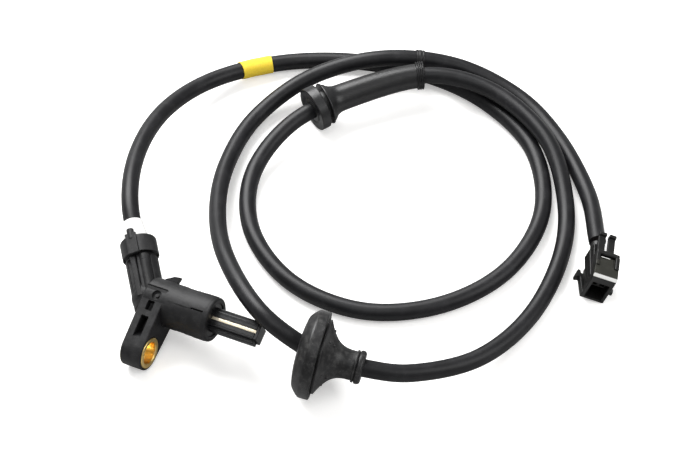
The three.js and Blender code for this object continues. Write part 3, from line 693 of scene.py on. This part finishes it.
def makeBush():
    back, front = -housing["earThickness"] - bush["proud"], bush["proud"]
    ring = turned([(back, bush["bore"] + 0.35), (back, bush["outer"], 0.3), (front, bush["outer"], 0.3),
                   (front, bush["bore"] + 0.4, 0.12), (front - 0.45, bush["bore"]),
                   (back + 0.4, bush["bore"])], 128, closed=True)
    rememberShape(ring)
    place = sensorPlace @ Matrix.Translation((0, -housing["bushOffset"], 0))
    return placed("brass_bush", ring, place, "bushBrass", "bush_brass", "mount_bush", smooth=50)


makeBush()


# Outlet cap, with its key block and pip
cap = {
    "radius": 7.2,
    "start": 17.3,
    "end": 24.9,
    "hollow": 6.7,
    "hollowEnd": 23.5,
    "way": 5.1,
    "keyWidth": 4.4,
    "keyTop": 8.2,
    "keyTurn": -4,
    "pipRadius": 1.45,
}


def makeCap():
    r, start, end = cap["radius"], cap["start"], cap["end"]
    shell = turned([(start, 0), (start, r, 0.2), (end, r, 0.9), (end, 0)], 128)
    half = cap["keyWidth"] / 2
    lie = turn(cap["keyTurn"], "X")
    key = block(start - 0.8, end + 0.35, -half, half, 6.9, cap["keyTop"], 0.3, lie)
    pip = turned([(end - 2, 0), (end - 2, cap["pipRadius"]), (end + 2.5, cap["pipRadius"], 0.6),
                  (end + 2.5, 0)], 48, place=lie @ Matrix.Translation((0, 0, r - 0.2)))
    hollow = rod(start - 2, cap["hollowEnd"], cap["hollow"])
    way = rod(20, 40, cap["way"], 64)
    whole = worked(shell, joined=[key, pip], cut=[hollow, way])
    whole = rememberShape(worked(cleaned(whole), ease=0.12))
    return placed("outlet_cap_moulding", whole, outletPlace, "capPlastic", "black_plastic", "outlet_cap",
                  smooth=32)


makeCap()


# Coil carrier: the blade that carries the pole plate, the plug that closes the barrel and the spool
blade = {
    "plugFront": 18.7,
    "end": 38.9,
    "halfWidth": 4.6,
    "halfThickness": 1.8,
    "coreHalfWidth": 3.1,
    "coreHalfThickness": 3.0,
}


def makeBlade():
    thin, thick = blade["halfThickness"], blade["coreHalfThickness"]
    front, end = blade["plugFront"], blade["end"]

    def bar(y, z, corner, far):
        corners = [(-y, -z, corner), (y, -z, corner), (y, z, corner), (-y, z, corner)]
        return prism(corners, front - 1, far, 0.15, alongX)

    def groove(x0, x1, y0, y1, deep, side):
        return block(x0, x1, y0, y1, *((deep, 6) if side > 0 else (-6, -deep)))

    wings = bar(blade["halfWidth"], thin, 0.25, end - 0.9)
    spine = bar(blade["coreHalfWidth"], thick, 0.3, end)
    spool = turned([(0.5, 0), (0.5, 6.3), (1.9, 6.3), (1.9, 3.3), (13.1, 3.3), (13.1, 6.3),
                    (front, 6.5, 0.15), (front, 0)])
    cuts = []
    for side in (-1, 1):  # fine lengthwise lines on both broad faces
        for y in (3.95, -3.95):
            cuts.append(groove(front - 2, end + 1, y - 0.11, y + 0.11, thin - 0.22, side))
        for y in (2.62, 2.15, -2.35):
            cuts.append(groove(front - 2, end - 1.4, y - 0.1, y + 0.1, thick - 0.2, side))
        cuts.append(groove(front - 0.2, end - 1.5, -0.78, 0.78, thick - 0.55, side))
        cuts.append(groove(end - 1.5, end - 1.2, -6, 6, thin - 0.3, side))
    slot = block(front - 0.2, end - 1.0, -0.72, 0.72, -6, 6)
    hollow = rod(-1, 5.6, 2.4, 48)
    neck = block(5.4, front, -0.9, 0.9, -2.4, 2.4)
    pins = [block(-1, 3.5, -0.65, 0.65, z - 0.65, z + 0.65) for z in (-3.2, 3.2)]
    whole = worked(wings, joined=[spine, spool], cut=[*cuts, slot, hollow, neck, *pins])
    whole = rememberShape(worked(cleaned(whole), ease=0.07))
    return placed("blade_carrier", whole, sensorPlace, "bladePlastic", "black_plastic", "coil_carrier",
                  smooth=35)


makeBlade()


# The pole plate, whose edges show in the blade's groove
pole = {"start": 5.5, "halfThickness": 0.6, "halfWidth": 2.1, "bladeHalfWidth": 2.8}


def makePolePlate():
    thick, narrow, wide = pole["halfThickness"], pole["halfWidth"], pole["bladeHalfWidth"]
    plate = worked(block(pole["start"], 19.2, -thick, thick, -narrow, narrow), joined=[
        block(blade["plugFront"], blade["end"] - 1.3, -thick, thick, -wide, wide)])
    plate = rememberShape(worked(cleaned(plate), ease=0.1))
    return placed("pole_strip", plate, sensorPlace, "poleSteel", "pole_steel", "pole_plate", smooth=35)


makePolePlate()


# Pieces on the cable. Most are shaped straight, then bent along the cable; the large grommet is placed whole,
# with the cable's bent way cut through it
sleeve = {"start": 12.2, "length": 9, "play": 0.15, "wall": 1.35, "endWall": 0.55}


def makeSleeve():
    r, length, play, wall = lead["radius"], sleeve["length"], sleeve["play"], sleeve["wall"]
    steps = [(x, r + wall - 0.8 * max(0, x - 2.4) / 5.6) for x in (2.4, 3.8, 5.2, 6.6)]
    shape = turned([(0, r + play), (0, r + wall, 0.2), *steps, (8, r + 0.62),
                    (length, r + sleeve["endWall"], 0.25), (length, r + play)], 64, closed=True)
    return onCableAt("white_cable_sleeve", shape, sleeve["start"], "sleevePlastic", "white_plastic",
                     "white_sleeve")


tape = {
    "start": 136.0,
    "length": 13.6,
    "thickness": 0.42,
    "lap": 0.16,  # height of the step where the wound end lies
    "lapAt": 1.1,  # its place round the cable, in radians
    "waver": 0.03,
    "slant": 0.12,
    "threadsPerMm": 2.6,
    "threadsAround": 64.0,
    "weave": 0.12,
    "bump": 0.05,
    "dirt": 0.45,
    "dirtRange": (0.42, 0.7),
    "color": (0.93, 0.68, 0.03),
    "shade": (0.80, 0.52, 0.02),
}


def makeTape():
    inner, outer, length = lead["radius"] + 0.1, lead["radius"] + tape["thickness"], tape["length"]
    count = round(length / 0.9)  # enough rings to bend
    rings = [length * i / count for i in range(1, count)]
    shape = turned([(0, inner), (0, outer, 0.12), *((x, outer) for x in rings), (length, outer, 0.12),
                    (length, inner), *((x, inner) for x in reversed(rings))], closed=True)
    for vertex in shape.vertices:  # the wound end shows as a small step, and the cloth isn't quite even
        around = math.atan2(vertex.co.z, vertex.co.y)
        lap = tape["lap"] / (1 + math.exp(-9 * (around - tape["lapAt"]))) - tape["lap"] / 2
        grown = 1 + (lap + tape["waver"] * math.sin(3 * around + vertex.co.x)) / 3.9
        vertex.co.y *= grown
        vertex.co.z *= grown
        vertex.co.x += tape["slant"] * math.sin(2 * around) * (1 if vertex.co.x > 6 else -1)
    return onCableAt("yellow_tape_marker", shape, tape["start"], "tapeCloth", "yellow_tape", "yellow_marker")


def makeTapeCloth():
    material = makeFinish("tapeCloth", "straight")
    tree = material.node_tree
    link = tree.links.new
    shader = tree.nodes["Principled BSDF"]
    bump = next(node for node in tree.nodes if node.bl_idname == "ShaderNodeBump")
    place = placeNode(tree, "straight")
    apart = tree.nodes.new("ShaderNodeSeparateXYZ")
    link(place, apart.inputs[0])
    around = mathNode(tree, "ARCTAN2")
    link(apart.outputs["Z"], around.inputs[0])
    link(apart.outputs["Y"], around.inputs[1])
    threads = []
    for source, count in ((apart.outputs["X"], 2 * math.pi * tape["threadsPerMm"]),
                          (around.outputs[0], tape["threadsAround"])):
        phase = mathNode(tree, "MULTIPLY", None, count)
        wave = mathNode(tree, "SINE")
        link(source, phase.inputs[0])
        link(phase.outputs[0], wave.inputs[0])
        threads.append(wave.outputs[0])
    woven = mathNode(tree, "MULTIPLY")
    link(threads[0], woven.inputs[0])
    link(threads[1], woven.inputs[1])
    mottled = noiseNode(tree, 1.6, 3.0)
    link(place, mottled.inputs["Vector"])
    shade = rampNode(tree, *tape["dirtRange"])
    link(mottled.outputs["Fac"], shade.inputs["Value"])
    dirt = mathNode(tree, "MULTIPLY", None, tape["dirt"])
    link(shade.outputs["Result"], dirt.inputs[0])
    weave = mathNode(tree, "MULTIPLY_ADD", None, tape["weave"], None)
    weave.use_clamp = True
    link(woven.outputs[0], weave.inputs[0])
    link(dirt.outputs[0], weave.inputs[2])
    link(mixedColor(tree, weave.outputs[0], tape["color"], tape["shade"]), shader.inputs["Base Color"])
    bump.inputs["Distance"].default_value = tape["bump"] * mm
    link(woven.outputs[0], bump.inputs["Height"])


band = {"start": 1075.7, "length": 3.5, "ridge": 0.42, "groove": 0.22, "rim": 0.34}


def makeBand():
    r, length = lead["radius"], band["length"]
    ridge, groove, rim = (r + band[name] for name in ("ridge", "groove", "rim"))
    shape = turned([(0, r + 0.1), (0, rim, 0.12), (0.7, ridge), (1.0, groove), (1.3, ridge), (2.2, ridge),
                    (2.5, groove), (2.8, ridge), (length, rim, 0.12), (length, r + 0.1)], 64, closed=True)
    return onCableAt("cable_mark_band", shape, band["start"], "bandRubber", "sheath_rubber", "cable_band")


smallGrommet = {
    "start": 542.3,
    "length": 50.0,
    "disc": 9.4,
    "lip": 8.9,
    "tail": 5.7,
    "tailStart": 12.6,
    "tailEnd": 5.15,
    "ribs": (46.8, 47.6, 48.4, 49.2),
    "ribHeight": 0.76,
}


def makeSmallGrommet():
    inner = lead["radius"] + 0.12
    disc, lip, tail, tailEnd = (smallGrommet[name] for name in ("disc", "lip", "tail", "tailEnd"))
    length, flare, ribs = smallGrommet["length"], smallGrommet["tailStart"], smallGrommet["ribs"]
    high = tailEnd + smallGrommet["ribHeight"]
    profile = [(0, inner), (0, 5.0), (0.5, 5.4), (0.35, 6.2), (0, 6.6), (0, disc, 0.45), (4.5, disc, 0.45),
               (4.5, 6.4), (6.4, 6.4), (6.4, lip, 0.12), (6.9, lip, 0.12), (7.6, lip - 0.75),
               (8.3, tail + 2.1), (9.1, tail + 1.25), (10.2, tail + 0.6), (11.4, tail + 0.2), (flare, tail)]
    count = 24
    for i in range(1, count + 1):
        share = i / count
        profile.append((flare + (ribs[0] - flare) * share, tail + (tailEnd - tail) * share))
    for x in ribs:
        profile += [(x, tailEnd + 0.3), (x + 0.18, high), (x + 0.5, high), (x + 0.68, tailEnd + 0.3)]
    profile += [(length, tailEnd + 0.1, 0.1), (length, inner)]
    profile += [(length - length * i / 40, inner) for i in range(1, 40)]
    return onCableAt("small_grommet_moulding", turned(profile, closed=True), smallGrommet["start"],
                     "bootRubber", "grommet_rubber", "small_grommet", smooth=50)


largeGrommet = {
    "disc": 17.0,
    "lip": 14.4,
    "groove": 12.6,
    "neck": 5.65,
    "ring": 6.5,
    "nubs": [(2.9, 11.2, 5), (4.6, 8.85, 4)],  # distance, radius and number of each row
    "nubSize": 0.55,
    "way": (818, 866),  # between which lengths of the cable the grommet is bored
}


def makeLargeGrommet():
    disc, lip, groove, neck, ring = (largeGrommet[name] for name in ("disc", "lip", "groove", "neck", "ring"))
    body = turned([(-8.3, 0), (-8.3, disc - 8.5, 0.3), (-8.0, disc - 6.4, 0.3), (-7.4, disc - 3.4, 0.8),
                   (-5.6, disc - 1.3, 0.8), (-4, disc, 0.5), (0, disc, 0.4), (0, lip + 0.3),
                   (-0.25, lip + 0.3), (-0.25, groove), (0.6, groove), (0.6, lip, 0.1), (1.1, lip, 0.15),
                   (2.1, 12.4, 0.6), (3.2, 10.6, 0.6), (4.1, 9.3, 0.6), (5.1, 8.15, 0.6), (6.1, 7.25, 0.6),
                   (7.2, 6.6, 0.7), (8.6, 6.05, 0.8), (10.4, 5.7, 0.8), (13.3, neck, 0.1),
                   (13.3, ring - 0.4, 0.1), (13.5, ring - 0.2, 0.15), (14.1, ring - 0.2, 0.15),
                   (14.4, ring - 0.75, 0.12), (14.6, ring - 0.2, 0.3), (15.0, ring, 0.35), (16.2, ring, 0.6),
                   (16.9, ring - 0.8, 0.4), (16.9, 0)], 160)
    nubs = []
    for along, radius, number in largeGrommet["nubs"]:
        for i in range(number):
            nubs.append(ball(largeGrommet["nubSize"], turn(360 * (i + 0.3 * (number % 2)) / number, "X")
                             @ Matrix.Translation((along, radius - 0.2, 0))))
    way = routeHole(*largeGrommet["way"], lead["radius"] + 0.12, discPlace.inverted())
    shape = rememberShape(worked(worked(body, joined=nubs), cut=[way]))
    return placed("large_grommet_moulding", shape, discPlace, "grommetRubber", "grommet_rubber",
                  "large_grommet", smooth=50)


def routeHole(start, end, radius, place):
    # The way of the cable through a piece, as a solid to cut with
    count = round((end - start) / 0.8)
    rings = [((end - start) * i / count, radius) for i in range(count + 1)]
    mesh = bentAlong(turned([(0, 0), *rings, (end - start, 0)], 48), start)
    mesh.transform(place)
    return mesh


makeTapeCloth()
onCable = [makeSleeve(), makeTape(), makeBand(), makeSmallGrommet(), makeLargeGrommet()]


# Connector: the housing, its lock plate with a front edge painted near-white as a highlight, and what lies
# inside
plug = {
    "half": 4.8,
    "top": 15.5,
    "mouth": 13.0,
    "mouthDepth": 9.6,
    "wall": 1.3,
    "ceiling": 11.0,
    "cableAxis": (-2.2, 6.8),  # y and z
    "neckRadius": 2.85,
    "neckLength": 9.4,
    "coreBore": 2.4,
    "nubRadius": 1.35,
    "cheekTurn": 6.8,  # degrees
    "prongs": (-3.2, 0.8),
    "prongWidth": 2.8,
    "prongReach": -8.2,
    "plateBack": 3.2,
}


def prongShape(middle):
    top, reach, half = plug["top"] - 0.3, plug["prongReach"], plug["prongWidth"] / 2
    return prism([(1.2, top - 2.1), (1.2, top), (reach + 1.4, top, 0.25), (reach + 1.25, top + 1.25, 0.2),
                  (reach, top + 1.3, 0.25), (reach - 0.1, top - 1.6, 0.4), (-1.5, top - 1.5, 0.3)],
                 -middle - half, -middle + half, 0.2, alongY)


def cheekShape():
    # The slanted left cheek, with two grooves along it
    place = Matrix.Translation((-3, -6.4, 0)) @ turn(plug["cheekTurn"], "Z")
    cheek = prism([(-3, -6.4, 0.4), (-3, -2.5), (9.5, -4.4), (9.5, -4.92)], 4.7, 10.6, 0.3)
    grooves = [block(0.8, 13, -0.6, 0.35, z, z + 0.75, 0.0, place) for z in (6.0, 8.1)]
    return worked(cheek, cut=grooves)


def armShape():
    # The side arm with its hooked end
    rim = prism([(13, -4.5), (13, -4.95, 0.2), (5.6, -6.6, 0.3), (6.2, -8.2, 0.3), (5.2, -8.6, 0.3),
                 (2.2, -7.7, 0.3), (2.4, -6.7, 0.2), (4.8, -5.9, 0.4), (12.2, -4.5)], 0, 3, 0.2)
    web = prism([(12.4, -4.5), (5.2, -6.2), (2.6, -6.9), (2.4, -4.5)], 0.3, 1.5, 0.15)
    return worked(rim, joined=[web])


def makePlugHousing():
    half, top, mouth, wall = (plug[name] for name in ("half", "top", "mouth", "wall"))
    y, z = plug["cableAxis"]
    back, reach = mouth - plug["mouthDepth"], plug["neckLength"]
    shell = prism([(-half, 0, 0.5), (half, 0, 0.5), (half, top, 0.6), (-half, top, 0.6)], 0, mouth, 0.25,
                  alongX)
    inNeck = Matrix.Translation((0, y, z))
    neck = turned([(-reach, 0), (-reach, plug["neckRadius"], 0.3), (0.9, plug["neckRadius"]), (0.9, 0)], 48,
                  place=inNeck)
    throat = prism([(-5.8, -5.0, 0.4), (-5.8, -2.6, 0.5), (-3.0, 0.6, 0.5), (1, 2.2), (1, -4.6)], 2.4, 11.2,
                   0.3)
    knob = plug["nubRadius"]
    nub = turned([(0, 0), (0, knob), (1.7, knob, 0.3), (1.7, 0.7, 0.1), (1.2, 0.7), (1.2, 0)], 32,
                 place=Matrix.Translation((mouth - 1.7, half - 0.4, 6.2)) @ turn(90, "Z"))
    rail = block(1.9, 7.9, 3.1, half - 0.05, top - 1, top + 0.55, 0.35)
    bridge = block(0.15, 1.75, -half + 0.3, 3.4, top - 1, top + 0.25, 0.2)
    strip = block(1.0, 5.6, -half + 0.2, -3.35, top - 1, top + 0.15, 0.15)
    shelf = worked(shell, joined=[neck, throat, cheekShape(), armShape(), nub, rail, bridge, strip,
                                  *[prongShape(middle) for middle in plug["prongs"]]])
    tower = worked(block(back - 0.5, 9.6, -3.1, 3.1, 4.9, 8.7, 0.3),
                   joined=[block(back, 8.4, -1.0, 1.2, 8.2, 10.1, 0.3)])
    hole = block(back, mouth + 1, -half + wall, half - wall, wall, plug["ceiling"], 0.3)
    seat = [block(2.0, 3.0, -3.25, 2.95, top - 1.6, top + 2),  # the open slot behind the plate
            block(3.0, mouth + 1, -3.25, 3.0, top - 1.55, top + 1),
            block(7.7, mouth + 1, -half - 1, half + 1, top - 1.55, top + 1)]
    relief = [block(1.0, mouth - 2.5, half - 0.35, half + 1, z0, z0 + 1.6, 0.0) for z0 in (3.2, 6.6)]
    bore = rod(-reach - 1, 0.6, plug["coreBore"], 48, inNeck)
    hollow = block(0.3, back - 0.4, -4.2, 3, z - 1.4, z + 1.4)
    whole = worked(shelf, cut=[hole, *seat, *relief, bore, hollow])
    ways = [block(back - 1, 12, side * 1.6 - 1.05, side * 1.6 + 1.05, z - 1.05, z + 1.05) for side in (-1, 1)]
    whole = worked(whole, joined=[tower], cut=ways)
    whole = worked(cleaned(whole), ease=0.13, sharp=38)
    return placed("plug_housing", whole, plugPlace, "plugPlastic", "black_plastic", "connector_housing",
                  smooth=32)


def makeLockPlate():
    top, mouth, half, back = plug["top"], plug["mouth"], plug["half"], plug["plateBack"]
    low = top - 1.35
    face = top - 0.05
    narrow = prism([(back, low), (back, face, 0.15), (mouth - 1, face), (mouth - 1, low)], -2.85, 3.1, 0.1,
                   alongY)
    wide = prism([(7.9, low), (7.9, face), (mouth - 0.95, face), (mouth - 0.95, low)], -half + 0.05,
                 half - 0.05, 0.1, alongY)
    tab = block(5.5, 7.6, -half + 0.1, -3.3, low, top + 0.35, 0.25)
    line = block(3.75, 4.1, -3.4, -0.6, top - 0.5, top + 1)
    ledge = block(back + 0.4, 7.0, 2.2, 2.5, top - 0.35, top + 1)
    whole = worked(narrow, joined=[wide, tab], cut=[line, ledge])
    whole = worked(cleaned(whole), ease=0.08, sharp=38)
    return placed("lock_plate", whole, plugPlace, "lockPlastic", "lock_plastic", "connector_lock", smooth=32)


def makeLockEdge():
    # The plate's front edge falls away at a slant and is coloured near-white as a painted highlight, as is a
    # thin strip laid just over the plate near its back, a painted glint
    top, mouth, half = plug["top"], plug["mouth"], plug["half"]
    edge = prism([(mouth - 0.95, top - 1.35), (mouth - 0.95, top - 0.05, 0.1),
                  (mouth + 0.05, top - 1.05, 0.15), (mouth - 0.1, top - 1.4)], -half + 0.05, half - 0.05,
                 0.1, alongY)
    # a thin near-white strip laid just above the plate's back: a painted glint, not a part of the plate
    line = block(plug["plateBack"] + 0.05, plug["plateBack"] + 0.3, -2.8, 0.8, top - 0.3, top + 0.02, 0.05)
    edge = cleaned(worked(edge, joined=[line]))
    return placed("lock_edge_highlight", edge, plugPlace, "edgeHighlightPaint", "lock_plastic", smooth=32)


def finishNodes(finish, *names):
    for name in names:
        mesh = nodes[name].data
        mesh.materials.clear()
        mesh.materials.append(finishFor(finish, mesh))
    return [nodes[name] for name in names]


onCable += [makePlugHousing(), makeLockPlate(), makeLockEdge(),
            *finishNodes("pinBrass", "terminal_1", "terminal_2"),
            *finishNodes("coreSheath", "terminal_wire_1", "terminal_wire_2")]
finishNodes("sealRubber", "cable_seal")
finishNodes("magnetIron", "magnet")
finishNodes("pinBrass", "contact_pin_1", "contact_pin_2")
finishNodes("coreSheath", "lead_wire_1", "lead_wire_2")
finishNodes("windingCopper", "coil_winding")


# Studio
studio = {
    "aim": (0.03, 0.08, 0),
    "floorSize": 4.0,
    "floorRoughness": 0.9,
    "floorColor": (0.93, 0.925, 0.915, 1),
    "bounceColor": (0.42, 0.42, 0.42, 1),  # how bright the floor is for everything but the camera
    "floorGlow": 0.4,
    "world": 0.4,
    "softboxes": [
        # place, size, watts
        ((-0.6, 0.5, 0.85), 0.8, 25.0),
        ((0.8, 0.2, 0.6), 0.6, 4.0),
        ((0.1, -0.3, 1.1), 0.6, 2.5),
    ],
}


def makeStudio():
    bpy.ops.mesh.primitive_plane_add(size=studio["floorSize"])
    floor = bpy.context.object
    floor.name = "floor"
    paint = bpy.data.materials.new("floor_paper")
    paint.use_nodes = True
    tree = paint.node_tree
    shader = tree.nodes["Principled BSDF"]
    shader.inputs["Roughness"].default_value = studio["floorRoughness"]
    shader.inputs["Emission Color"].default_value = studio["floorColor"]
    path = tree.nodes.new("ShaderNodeLightPath")
    seen = path.outputs["Is Camera Ray"]
    floorColor = mixedColor(tree, seen, studio["bounceColor"], studio["floorColor"])
    tree.links.new(floorColor, shader.inputs["Base Color"])
    glow = mathNode(tree, "MULTIPLY", None, studio["floorGlow"])
    tree.links.new(seen, glow.inputs[0])
    tree.links.new(glow.outputs[0], shader.inputs["Emission Strength"])
    floor.data.materials.append(paint)
    world = bpy.data.worlds.new("studio")
    world.use_nodes = True
    world.node_tree.nodes["Background"].inputs["Strength"].default_value = studio["world"]
    world.node_tree.nodes["Background"].inputs["Color"].default_value = (1, 1, 1, 1)
    scene.world = world
    for number, (place, size, watts) in enumerate(studio["softboxes"]):
        light = bpy.data.lights.new(f"softbox{number}", "AREA")
        light.energy = watts
        light.size = size
        lamp = bpy.data.objects.new(f"softbox{number}", light)
        lamp.location = place
        aim = Vector(studio["aim"]) - Vector(place)
        lamp.rotation_mode = "QUATERNION"
        lamp.rotation_quaternion = aim.to_track_quat("-Z", "Y")
        scene.collection.objects.link(lamp)
    scene.view_settings.view_transform = "Standard"


makeStudio()
